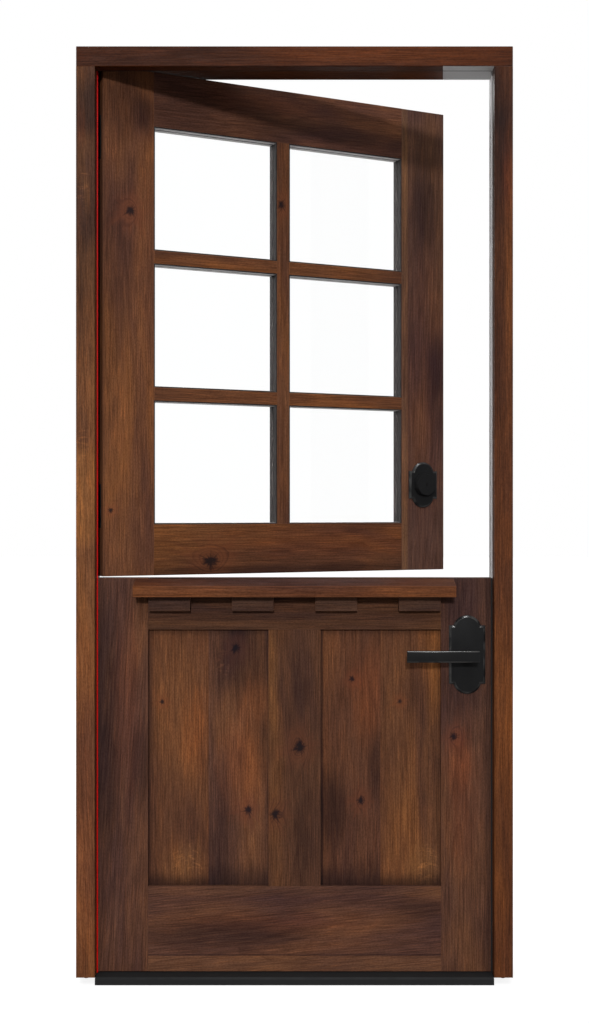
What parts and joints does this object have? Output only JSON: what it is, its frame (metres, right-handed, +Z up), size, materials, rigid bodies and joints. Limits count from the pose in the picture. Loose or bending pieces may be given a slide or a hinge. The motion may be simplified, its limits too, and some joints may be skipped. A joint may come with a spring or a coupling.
{
  "type": "dutch stable door with frame",
  "caption": "Knotty dark wood dutch door in its frame, with a glazed upper leaf, a panelled lower leaf with a dentil shelf, and black hardware.",
  "frame": {"origin": "middle of the threshold's underside, halfway through the depth of the frame", "axes": "+X from the hinge side to the lock side, +Y from outside to inside, +Z up"},
  "size_m": [0.979, 0.5063, 2.104],
  "materials": {
    "wood": "satin stain on knotty alder",
    "threshold": "matt black",
    "red_seal": "smooth red rubber",
    "black_seal": "matt black rubber",
    "black_hardware": "matt black powder coat",
    "steel": "bright steel",
    "glass": "clear",
    "grey_liner": "matt grey glazing rubber"
  },
  "bodies": {
    "frame": {"hinge_jamb": "wood", "strike_jamb": "wood", "head_jamb": "wood", "threshold": "threshold", "hinge_side_seal": "red_seal", "strike_side_seal": "black_seal", "head_seal": "black_seal", "hinge_jamb_plates": "black_hardware", "hinge_pins": "steel", "latch_strike": "black_hardware", "deadbolt_strike": "black_hardware", "frame_screws": "black_hardware"},
    "upper_leaf": {"upper_hinge_stile": "wood", "upper_lock_stile": "wood", "upper_top_rail_piece": "wood", "upper_bottom_rail_piece": "wood", "vertical_muntin": "wood", "horizontal_muntins": "wood", "glass_panes": "glass", "front_glazing_liners": "grey_liner", "rear_glazing_liners": "grey_liner", "upper_hinge_plates": "black_hardware", "deadbolt_plate": "black_hardware", "deadbolt_collar": "black_hardware", "deadbolt_rear_rose": "black_hardware", "deadbolt_case": "steel", "deadbolt_faceplate": "black_hardware", "joining_bolt_keeper": "black_hardware", "upper_leaf_screws": "black_hardware"},
    "deadbolt": {"deadbolt_bolt": "steel"},
    "deadbolt_turn": {"key_plug": "steel", "tailpiece": "steel", "thumb_turn": "black_hardware"},
    "lower_leaf": {"lower_hinge_stile": "wood", "lower_lock_stile": "wood", "lower_top_rail_piece": "wood", "lower_bottom_rail_piece": "wood", "centre_mullion": "wood", "left_panel": "wood", "right_panel": "wood", "dentil_shelf": "wood", "dentil_blocks": "wood", "lower_hinge_plates": "black_hardware", "front_lever_plate": "black_hardware", "rear_lever_plate": "black_hardware", "latch_case": "steel", "latch_faceplate": "black_hardware", "joining_bolt_base": "black_hardware", "lower_leaf_screws": "black_hardware"},
    "lever_set": {"front_lever": "black_hardware", "lever_spindle": "steel", "rear_lever": "black_hardware"},
    "latch": {"latch_bolt": "steel"},
    "leaf_joining_bolt": {"joining_bolt": "black_hardware"}
  },
  "joints": [
    {"name": "upper_leaf_swing", "type": "hinge", "parent": "frame", "child": "upper_leaf", "pos_m": [-0.4575, 0.0005, 1.495], "axis": [0, 0, 1], "range_deg": [-26.5, 63.5]},
    {"name": "lower_leaf_swing", "type": "hinge", "parent": "frame", "child": "lower_leaf", "pos_m": [-0.4575, 0.0005, 0.465], "axis": [0, 0, 1], "range_deg": [0, 90]},
    {"name": "lever_turn", "type": "hinge", "parent": "lower_leaf", "child": "lever_set", "pos_m": [0.391, -0.0265, 0.7375], "axis": [0, -1, 0], "range_deg": [0, 45], "stiffness_Nm_per_rad": 1.6, "springref_deg": -40.11},
    {"name": "latch_slide", "type": "slide", "parent": "lower_leaf", "child": "latch", "axis": [-1, 0, 0], "range_m": [0, 0.012]},
    {"name": "deadbolt_turn_rotate", "type": "hinge", "parent": "upper_leaf", "child": "deadbolt_turn", "pos_m": [0.31569, 0.35583, 1.129], "axis": [-0.4462, 0.8949, 0], "range_deg": [0, 90]},
    {"name": "deadbolt_slide", "type": "slide", "parent": "upper_leaf", "child": "deadbolt", "axis": [0.8949, 0.4462, 0], "range_m": [0, 0.021]},
    {"name": "joining_bolt_slide", "type": "slide", "parent": "lower_leaf", "child": "leaf_joining_bolt", "axis": [0, 0, 1], "range_m": [0, 0.036]}
  ],
  "couplings": [
    {"joint": "latch_slide", "follows": "lever_turn", "m_per_rad": 0.015279},
    {"joint": "deadbolt_slide", "follows": "deadbolt_turn_rotate", "m_per_rad": 0.013369}
  ]
}
